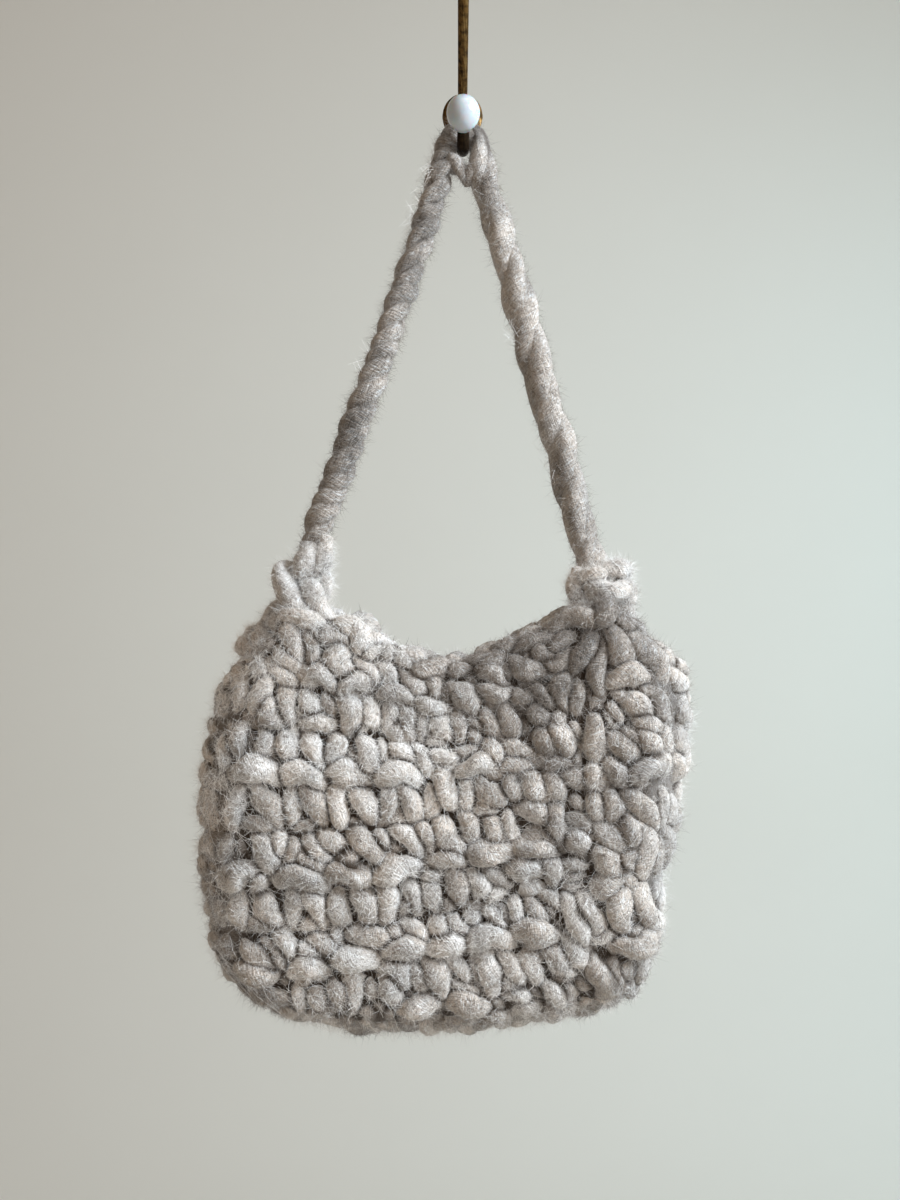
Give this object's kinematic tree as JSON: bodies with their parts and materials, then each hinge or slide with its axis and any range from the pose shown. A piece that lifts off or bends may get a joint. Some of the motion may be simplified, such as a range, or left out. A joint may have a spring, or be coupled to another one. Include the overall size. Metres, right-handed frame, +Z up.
{
  "type": "crochet shoulder bag on a wall hook",
  "caption": "Slouchy pouch of thick crocheted wool with a knotted cord strap, hanging open from a brass wall hook with a porcelain knob.",
  "frame": {"origin": "centre of the hook's flat wall face", "axes": "+Z up, +Y into the wall, +X to the right as the bag is seen from the front"},
  "size_m": [0.3119, 0.0901, 0.6789],
  "materials": {
    "wool": "fuzzy heathered wool",
    "brass": "aged, brown",
    "porcelain": "glazed white"
  },
  "bodies": {
    "root": {"bag_body": "wool", "strap": "wool", "wall_hook": "brass", "hook_knob": "porcelain"}
  },
  "joints": []
}
